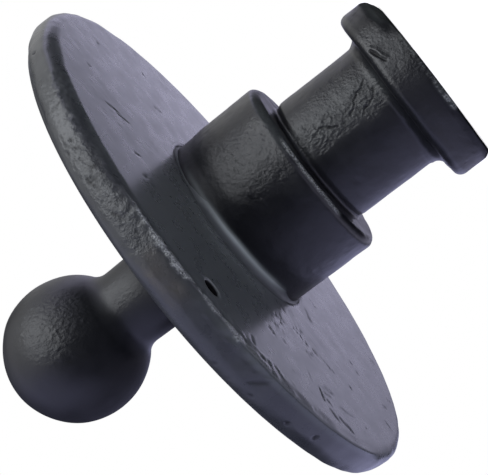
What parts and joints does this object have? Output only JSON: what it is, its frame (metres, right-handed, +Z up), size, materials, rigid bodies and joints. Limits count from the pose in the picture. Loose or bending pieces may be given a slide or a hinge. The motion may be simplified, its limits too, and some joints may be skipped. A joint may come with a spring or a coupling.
{
  "type": "kingpin to ball hitch adapter",
  "caption": "Hitch adapter: a flanged fifth-wheel kingpin below a round bearing disc, with a coupling ball on a short stem above it, painted black.",
  "frame": {"origin": "centre of the kingpin's flat end face, which the part stands on", "axes": "+Z up the common axis of kingpin, disc and ball, towards the ball; the tie hole in the disc lies on the -Y side"},
  "size_m": [0.2104, 0.2104, 0.2053],
  "materials": {
    "kingpin_paint": "semi-gloss black paint over a rough forged skin",
    "disc_paint": "semi-gloss black paint over a flat plate with fine scratches and pits",
    "ball_paint": "semi-gloss black paint, smooth with wrinkled patches",
    "weld_paint": "black paint over a dressed weld bead",
    "washer_paint": "black paint over spring steel"
  },
  "bodies": {
    "root": {"kingpin": "kingpin_paint", "bearing_disc": "disc_paint", "collar_weld": "weld_paint", "spigot_weld": "weld_paint", "hitch_ball": "ball_paint", "ball_lock_washer": "washer_paint"}
  },
  "joints": []
}
